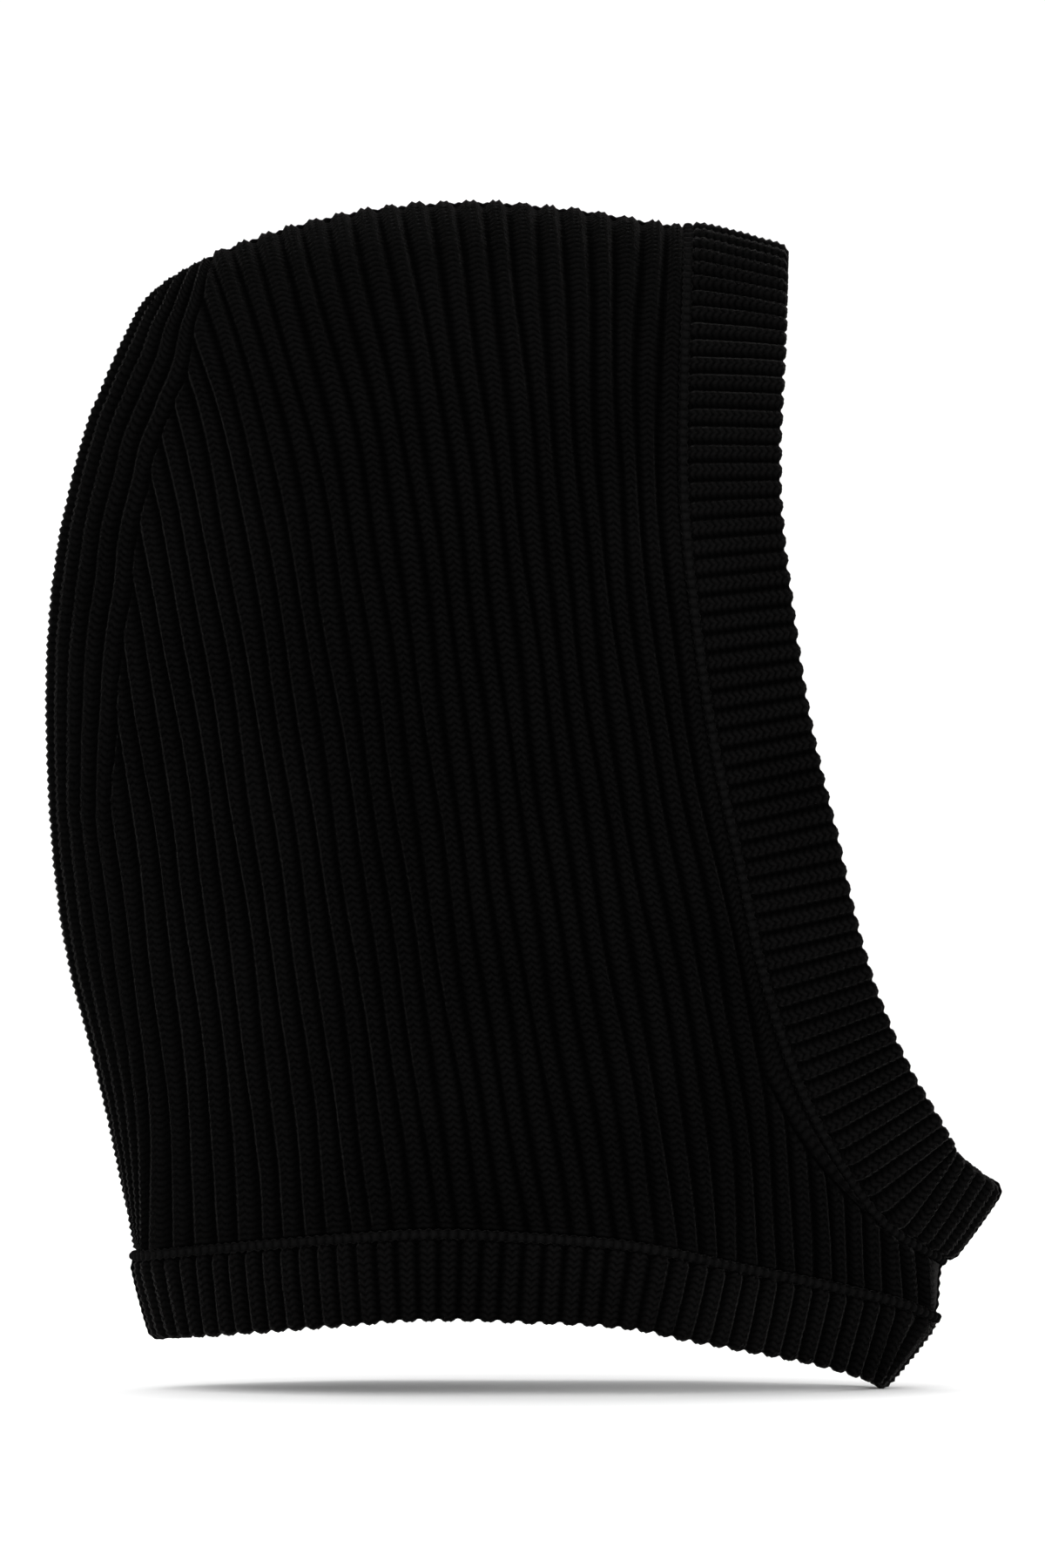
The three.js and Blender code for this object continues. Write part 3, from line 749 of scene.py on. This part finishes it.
def panel(name, left, seed, node):
    """One side of the hood: the ribbed outside, the coarser inside with its ribs the other way
    round, and the rim between them."""
    outer, outer_rim = panel_grid(FINE_COLUMNS, STITCH / 2)
    flat, rib, stitch, rim, border, faces, uv = outer.arrays()
    base = raised(flat)
    height = rib_height(rib, stitch) + drift(base, seed, UNEVENNESS)
    height = CREST + GAP_DEPTH + (height - CREST - GAP_DEPTH) * smooth(border, 0, BORDER_RISE)
    height = SEAM_HEIGHT + (height - SEAM_HEIGHT) * smooth(rim, RIM_RISE_FROM, RIM_RISE_TO)
    outside = base + outward(base) * height[:, None]

    inner, inner_rim = panel_grid(COARSE_COLUMNS, 2 * STITCH)
    flat, rib, stitch, rim, border, inner_faces, inner_uv = inner.arrays()
    base = raised(flat)
    depth = np.interp(rib % 1, RIB_AT, RIB_SHAPE)
    rise = smooth(border, 0, INNER_BORDER_RISE) * smooth(rim, 0, INNER_RIM_RISE)
    height = INNER_RIB * (1 - depth) * rise - KNIT
    inside = base + outward(base) * height[:, None]

    points = np.vstack([outside, inside])
    points[:, 1] = np.maximum(points[:, 1], LEAST_Y)
    start = len(outside)
    strips = np.vstack([zip_rims(points, a, b + start) for a, b in zip(outer_rim, inner_rim)])
    strip_uv = np.zeros((len(strips), 3, 2))
    faces = np.vstack([faces, inner_faces[:, ::-1] + start, strips])
    uv = np.vstack([uv, inner_uv[:, ::-1], strip_uv])
    if not left:
        points = points * (1, -1, 1)
        faces, uv = faces[:, ::-1], uv[:, ::-1]
    return piece(name, points, faces, uv, HOOD_KNIT, "hood_knit", node)


def wrap(points, u, v, closed):
    """Triangles round a tube of rings of points; open ends are closed with a fan. u and v are
    the rings' and the ring points' coordinates."""
    n, around = points.shape[:2]
    count = n if closed else n - 1
    i = np.arange(count)[:, None]
    j = np.arange(around)[None, :]
    at = lambda ring, spoke: (ring % n) * around + spoke % around
    a, b, c, d = (np.broadcast_to(q, (count, around)).ravel() for q in (
        at(i, j), at(i + 1, j), at(i + 1, j + 1), at(i, j + 1)))
    u_next = np.append(u[1:], u[-1] + (u[-1] - u[-2]))
    u0, u1 = (np.broadcast_to(q[:count, None], (count, around)).ravel() for q in (u, u_next))
    v0, v1 = (np.broadcast_to(q, (count, around)).ravel() for q in (v[:-1], v[1:]))
    ua, ub, uc, ud = (np.stack(q, -1) for q in ((u0, v0), (u1, v0), (u1, v1), (u0, v1)))
    faces = np.vstack([np.stack([a, b, c], -1), np.stack([a, c, d], -1)])
    uv = np.concatenate([np.stack([ua, ub, uc], 1), np.stack([ua, uc, ud], 1)])
    points = points.reshape(-1, 3)
    if closed:
        return points, faces, uv
    spoke = np.arange(around)
    last = (n - 1) * around
    middles = np.stack([points[:around].mean(0), points[last:].mean(0)])
    first_cap = np.stack([np.full(around, len(points)), spoke, (spoke + 1) % around], -1)
    last_cap = np.stack([np.full(around, len(points) + 1), last + (spoke + 1) % around, last + spoke], -1)
    faces = np.vstack([faces, first_cap, last_cap])
    uv = np.vstack([uv, np.zeros((2 * around, 3, 2))])
    return np.vstack([points, middles]), faces, uv


# ------------------------------------------------------------
# Bands
# ------------------------------------------------------------

# Each band's width along its seam, as shares of its own width.
FACE_STRETCH = [1.1, 0.97, 0.975, 1.01, 1.05, 1.06, 0.91]
NECK_STRETCH = [1, 1, 1, 0.96, 0.93, 0.99, 1.06]
FACE_RIB, FACE_GAP = 0.0055, -0.0019
NECK_RIB, NECK_GAP = 0.006, -0.0021
END_BLEND = 0.12
EDGE_EASE = 0.55
JOIN_GAP = 0.0006
SUNK_AT_SEAM = 0.0004
BAND_RISE_FROM, BAND_RISE_TO = 0.0006, 0.0034


def at_share(line, share):
    """A line's points at shares of its number of points."""
    return np.stack([np.interp(share, np.linspace(0, 1, len(line)), line[:, i]) for i in range(2)], -1)


def half_band(seam, sign, width, stretch, first_line, last_line):
    """The seam and free edge of a band along the wearer's left side. The free edge leaves the
    seam square to it, and follows the centre-line outline at both ends."""
    t = (1 - np.cos(math.pi * np.linspace(0, 1, 1600))) / 2
    point = at_share(seam, t)
    d = unit(at_share(np.gradient(seam, axis=0), t))
    width = width * through(t, np.linspace(0, 1, len(stretch)), stretch)
    square = sign * np.stack([-d[:, 1], d[:, 0]], -1) * width[:, None]
    first = along(first_line, width) - first_line[0]
    last = along(last_line, width) - last_line[0]
    near_first = 1 - smooth(t, 0, END_BLEND)[:, None]
    near_last = smooth(t, 1 - END_BLEND, 1)[:, None]
    reach = square + (first - square) * near_first
    reach = reach + (last - reach) * near_last
    lines = []
    for flat in (point, point + reach):
        y = bulge(*flat.T)
        y[[0, -1]] = 0
        lines.append(np.stack([flat[:, 0], y, flat[:, 1]], -1))
    return lines


def stadium(q, width, thickness):
    """A section with round ends: places and outward directions at distances from its seam side
    over the outer face. It swells a little in the middle."""
    radius = thickness / 2
    half = (width - thickness) / 2
    quarter = math.pi * radius / 2
    stops = np.cumsum([0, quarter, 2 * half, 2 * quarter, 2 * half, quarter])
    q = q % stops[-1]
    angle = np.interp(q, stops, [math.pi, math.pi / 2, math.pi / 2, -math.pi / 2, -math.pi / 2, -math.pi])
    middle = np.interp(q, stops, [-half, -half, half, half, -half, -half])
    direction = np.stack([np.cos(angle), np.sin(angle)], -1)
    place = direction * radius
    place[..., 0] += middle
    place[..., 1] *= 1 + 0.12 * (1 - (place[..., 0] / (width / 2)) ** 2)
    return place, direction, stops[-1]


def band(name, half, from_first, width, pitch, gap, seed, node):
    """A ribbed band round an opening, from one end join round to the other: a rounded section
    carried along the seam, with its ribs across it."""
    left = [line if from_first else line[::-1] for line in half]
    seam, edge = (np.vstack([line, line[-2::-1] * (1, -1, 1)]) for line in left)
    at = lengths((seam + edge) / 2)
    ribs = round(at[-1] / pitch)
    rib = np.append((np.arange(ribs)[:, None] + FINE_COLUMNS).ravel(), ribs)
    distance = rib / ribs * at[-1]
    along_seam = unit(np.gradient(seam, at, axis=0))
    pick = lambda values: np.stack([np.interp(distance, at, values[:, k]) for k in range(3)], -1)
    seam, edge, tangent = pick(seam), pick(edge), unit(pick(along_seam))
    across = edge - seam
    reach = np.linalg.norm(across, axis=1)
    across = unit(across)
    normal = unit(np.cross(tangent, across))

    spoke = STITCH / 2
    _, _, around = stadium(np.zeros(1), width, BAND_THICKNESS)
    count = 2 * round(around / spoke / 2)
    row = np.arange(count)
    spacing = around / count
    slack = chevron(rib)[:, None]
    place, direction, _ = stadium(row * spacing - slack, width, BAND_THICKNESS)
    from_seam = np.minimum(row, count - row) * spacing
    height = rib_height(rib[:, None], row / 2, gap)
    height = height * smooth(from_seam, BAND_RISE_FROM, BAND_RISE_TO)
    height = height - SUNK_AT_SEAM * (1 - smooth(from_seam, 0, BAND_RISE_TO))
    height = height * (1 - EDGE_EASE * smooth(direction[..., 0], 0.1, 0.9))
    share = (place[..., 0] + width / 2) / width
    out = direction[..., :1] * across[:, None] + direction[..., 1:] * normal[:, None]
    points = (
        seam[:, None]
        + across[:, None] * (SEAM_EDGE + share * (reach[:, None] - SEAM_EDGE))[..., None]
        + normal[:, None] * (place[..., 1:] - KNIT / 2)
    )
    points = points + out * (height + drift(points, seed, UNEVENNESS))[..., None]
    ends = rib < 1
    points[ends, :, 1] = np.maximum(points[ends, :, 1], JOIN_GAP)
    ends = rib > ribs - 1
    points[ends, :, 1] = np.minimum(points[ends, :, 1], -JOIN_GAP)
    points, faces, uv = wrap(points, rib, np.arange(count + 1) / 2, False)
    made = piece(name, points, faces, uv, BAND_KNIT, "band_ribbing", node)
    ring = stadium(np.linspace(0, around, 400), width, BAND_THICKNESS)[0]
    frame_at_join = (left[0][0], unit(left[1][0] - left[0][0]), np.linalg.norm(left[1][0] - left[0][0]))
    return made, ring, frame_at_join


# ------------------------------------------------------------
# Seams
# ------------------------------------------------------------

CHAIN_STITCH = 0.0028
CHAIN_LAG, CHAIN_SWELL, CHAIN_FURROW, FURROW_WIDTH = 0.32, 0.17, 0.16, 0.3

# How wide and how high each chain is, from its middle, and how far it lies below the surface.
OPENING_CHAIN = (0.0014, 0.0013)
FACE_SUNK, NECK_SUNK = 0.0012, 0.0002
CENTRE_CHAIN = (0.0016, 0.0014)
CENTRE_SUNK, CENTRE_END = 0.0022, 0.0008
JOIN_CHAIN, JOIN_STITCH = 0.0007, 0.0022


def chain(name, path, out, closed, wide, high, node, stitch=CHAIN_STITCH, sides=14, steps=7):
    """A linked seam: a tube along a path with a row of V-shaped stitches on it. Each stitch is a
    swelling that lags further behind the further it lies from the tube's top, where a furrow runs."""
    at = lengths(path)
    stitches = max(2, round(at[-1] / stitch))
    count = stitches * steps + (0 if closed else 1)
    distance = np.arange(count) / (stitches * steps) * at[-1]
    pick = lambda values: np.stack([np.interp(distance, at, values[:, k]) for k in range(3)], -1)
    centre, up = pick(path), unit(pick(out))
    ahead = np.roll(centre, -1, 0) if closed else np.vstack([centre[1:], 2 * centre[-1:] - centre[-2:-1]])
    behind = np.roll(centre, 1, 0) if closed else np.vstack([2 * centre[:1] - centre[1:2], centre[:-1]])
    tangent = unit(ahead - behind)
    aside = unit(np.cross(tangent, up))
    up = np.cross(aside, tangent)
    angle = np.arange(sides) / sides * 2 * math.pi
    from_top = np.abs((angle - math.pi / 2 + math.pi) % (2 * math.pi) - math.pi)
    phase = np.arange(count)[:, None] / steps - CHAIN_LAG * from_top
    furrow = CHAIN_FURROW * np.exp(-(from_top / FURROW_WIDTH) ** 2)
    swell = 1 + CHAIN_SWELL * np.cos(2 * math.pi * phase) - furrow
    points = (
        centre[:, None]
        + aside[:, None] * (wide * np.cos(angle) * swell)[..., None]
        + up[:, None] * (high * np.sin(angle) * swell)[..., None]
    )
    points, faces, uv = wrap(points, np.arange(count) / steps, np.arange(sides + 1) / sides * 2, closed)
    return piece(name, points, faces, uv[..., ::-1], YARN, "linking_yarn", node)


def round_loop(seam):
    """A seam's line round both sides of the hood, and the outward directions along it."""
    t = (1 - np.cos(math.pi * np.linspace(0, 1, 1400))) / 2
    flat = at_share(seam, t)
    y = bulge(*flat.T)
    y[[0, -1]] = 0
    half = np.stack([flat[:, 0], y, flat[:, 1]], -1)
    loop = np.vstack([half, half[-2::-1] * (1, -1, 1)])
    return loop, outward(loop)


def centre_path(line, short):
    """A stretch of the centre line that stops short of both its ends."""
    total = lengths(line)[-1]
    flat = along(line, np.linspace(short, total - short, 600))
    path = np.stack([flat[:, 0], np.zeros(600), flat[:, 1]], -1)
    return path, outward(path)


# ------------------------------------------------------------
# Labels
# ------------------------------------------------------------

LABEL_WIDTH, LABEL_HEIGHT, LABEL_THICKNESS = 0.044, 0.014, 0.0008
CARE_WIDTH, CARE_HEIGHT, CARE_THICKNESS = 0.022, 0.024, 0.001
TACK, TACK_INSET = 0.001, 0.002
LABEL_DEPTH = KNIT + 0.0007
LABEL_LOW = NECK_SEAM[0, 1] + 0.0084
CARE_BACK, CARE_FRONT = -0.031, -0.009
CARE_ABOVE_SEAM = 0.002
CARE_BEND = 0.006
CARE_GAP = 0.0011
TACK_LIFT = 0.0001


def back_surface(y, z):
    """The hood's surface behind the wearer's neck at width y and height z."""
    far = highest(np.zeros(y.shape), np.full(y.shape, 0.6 * DEPTH),
                  lambda reach: bulge(-reach, z) > np.abs(y))
    return np.stack([-far, y, z], -1)


def plate(name, surface, depth, thickness, material, slot, node):
    """A thin plate under a patch of surface: rings of points across it from front to back."""
    out = outward(surface)
    front = surface - out * np.broadcast_to(depth, surface.shape[:2])[..., None]
    back = front - out * thickness
    rings = np.concatenate([front, back[:, ::-1]], 1)
    n = rings.shape[1]
    points, faces, uv = wrap(rings, np.arange(len(rings)) * 0.1, np.arange(n + 1) * 0.1, False)
    triangle = points[faces]
    volume = np.einsum("ij,ij->i", triangle[:, 0], np.cross(triangle[:, 1], triangle[:, 2])).sum()
    if volume < 0:
        faces, uv = faces[:, ::-1], uv[:, ::-1]
    return piece(name, points, faces, uv, material, slot, node)


def back_patch(y0, y1, z0, z1, across, up):
    """A rectangle of that surface, as a grid of points across it and up it."""
    y, z = np.meshgrid(np.linspace(y0, y1, across), np.linspace(z0, z1, up), indexing="ij")
    return back_surface(y, z)


# ------------------------------------------------------------
# The pieces
# ------------------------------------------------------------

left_panel = panel("knit_panel_left", True, 3, "hood_panel_left")
right_panel = panel("knit_panel_right", False, 8, "hood_panel_right")

face_half = half_band(FACE_SEAM, 1, FACE_BAND_WIDTH, FACE_STRETCH, BROW_LINE, BROW_LINE[::-1])
neck_half = half_band(NECK_SEAM, -1, NECK_BAND_WIDTH, NECK_STRETCH, NAPE_DOWN, THROAT_DOWN)
face_band, face_ring, face_end = band(
    "face_band_ribbing", face_half, False, FACE_BAND_WIDTH, FACE_RIB, FACE_GAP, 15, "face_band")
neck_band, neck_ring, neck_end = band(
    "neck_band_ribbing", neck_half, True, NECK_BAND_WIDTH, NECK_RIB, NECK_GAP, 21, "neck_band")


for name, seam, node, sunk in (
        ("face_seam_chain", FACE_SEAM, "face_seam", FACE_SUNK),
        ("neck_seam_chain", NECK_SEAM, "neck_seam", NECK_SUNK)):
    path, out = round_loop(seam)
    chain(name, path - out * sunk, out, True, *OPENING_CHAIN, node)
for name, line, node in (
        ("centre_seam_chain", BACK_LINE, "centre_seam"), ("chin_seam_chain", CHIN_LINE, "chin_seam")):
    path, out = centre_path(line, CENTRE_END)
    chain(name, path - out * CENTRE_SUNK, out, False, *CENTRE_CHAIN, node)


def band_join(name, ring, end, node):
    """The chain that closes a band: round its section in the centre plane."""
    seam, across, reach = end
    normal = unit(np.cross(np.array([0, 1.0, 0]), across))
    share = (ring[:, 0] - ring[:, 0].min()) / np.ptp(ring[:, 0])
    path = seam + across * (SEAM_EDGE + share * (reach - SEAM_EDGE))[:, None]
    path = path + normal * (ring[:, 1:] * 0.94 - KNIT / 2)
    out = unit(path - path.mean(0))
    return chain(name, path, out, True, JOIN_CHAIN, JOIN_CHAIN, node, JOIN_STITCH, 10, 6)


band_join("face_band_join_chain", face_ring, face_end, "face_band_join")
band_join("neck_band_join_chain", neck_ring, neck_end, "neck_band_join")

low, high = LABEL_LOW, LABEL_LOW + LABEL_HEIGHT
neck_label = plate(
    "neck_label_satin", back_patch(-LABEL_WIDTH / 2, LABEL_WIDTH / 2, low, high, 60, 14),
    LABEL_DEPTH, LABEL_THICKNESS, SATIN, "label_satin", "neck_label")
for side_name, sign in (("left", 1), ("right", -1)):
    middle_y = sign * (LABEL_WIDTH / 2 - TACK_INSET)
    patch = back_patch(middle_y - TACK / 2, middle_y + TACK / 2, low + TACK, high - TACK, 6, 24)
    plate(f"neck_label_tack_stitch_{side_name}", patch, LABEL_DEPTH + LABEL_THICKNESS + TACK_LIFT, TACK,
          YARN, "linking_yarn", f"neck_label_tack_{side_name}")

care_top = at_share(NECK_SEAM, 0.5)[1] + CARE_ABOVE_SEAM
care_low = care_top - CARE_HEIGHT
x, z = np.meshgrid(
    np.linspace(CARE_BACK, CARE_FRONT, 24), np.linspace(care_top, care_low, 50), indexing="ij")
care_surface = np.stack([x, bulge(x, z), z], -1)
behind_band = KNIT / 2 + 0.56 * BAND_THICKNESS + CARE_GAP
care_depth = LABEL_DEPTH + (behind_band - LABEL_DEPTH) * smooth(care_top - z, 0, CARE_BEND)
care_label = plate(
    "care_label_satin", care_surface, care_depth, CARE_THICKNESS, SATIN, "label_satin", "care_label")

# ------------------------------------------------------------
# Stage, light and camera
# ------------------------------------------------------------

FRAME_HEIGHT = 0.4608
FRAME_MIDDLE = 0.1775
CAMERA_DISTANCE = 3.5
SENSOR = 36.0
FLOOR_HALF_SIZE = 20.0
LIT_POINT = (0, 0, 0.2)


def floor():
    """A plain pale floor, open on every side."""
    far = FLOOR_HALF_SIZE
    corners = [(-far, -far, 0), (far, -far, 0), (far, far, 0), (-far, far, 0)]
    mesh = bpy.data.meshes.new("floor")
    mesh.from_pydata(corners, [], [(0, 1, 2, 3)])
    mesh.materials.append(plain("floor paper", (0.95, 0.95, 0.95), 0.9))
    made = bpy.data.objects.new("floor", mesh)
    bpy.context.scene.collection.objects.link(made)
    made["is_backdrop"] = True


def softbox(name, place, size, power):
    """A square area light that faces the hood's middle."""
    light = bpy.data.lights.new(name, "AREA")
    light.shape = "RECTANGLE"
    light.size = light.size_y = size
    light.energy = power
    made = bpy.data.objects.new(name, light)
    made.location = place
    direction = np.array(LIT_POINT) - np.array(place)
    yaw = math.atan2(direction[0], -direction[1])
    pitch_angle = math.acos(-direction[2] / np.linalg.norm(direction))
    made.rotation_euler = (pitch_angle, 0, yaw + math.pi)
    bpy.context.scene.collection.objects.link(made)
    made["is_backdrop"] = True


floor()
softbox("key", (-1.1, -1.9, 1.7), 1.2, 14)
softbox("fill", (1.7, -1.7, 0.9), 1.4, 10)
softbox("top", (0.1, 0.4, 2.1), 1.6, 22)

world = bpy.data.worlds.new("studio")
world.use_nodes = True
world.node_tree.nodes["Background"].inputs[0].default_value = (1, 1, 1, 1)
world.node_tree.nodes["Background"].inputs[1].default_value = 1.08
bpy.context.scene.world = world
bpy.context.scene.view_settings.view_transform = "Standard"

camera_data = bpy.data.cameras.new("camera")
camera_data.sensor_fit = "VERTICAL"
camera_data.sensor_height = SENSOR
camera_data.lens = SENSOR * CAMERA_DISTANCE / FRAME_HEIGHT
camera_data.clip_end = 50
camera = bpy.data.objects.new("camera", camera_data)
camera.location = (0, -CAMERA_DISTANCE, FRAME_MIDDLE)
camera.rotation_euler = (math.pi / 2, 0, 0)
bpy.context.scene.collection.objects.link(camera)
bpy.context.scene.camera = camera

{"cad": CAD_BOX, "visual": [list(corner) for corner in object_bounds()]}
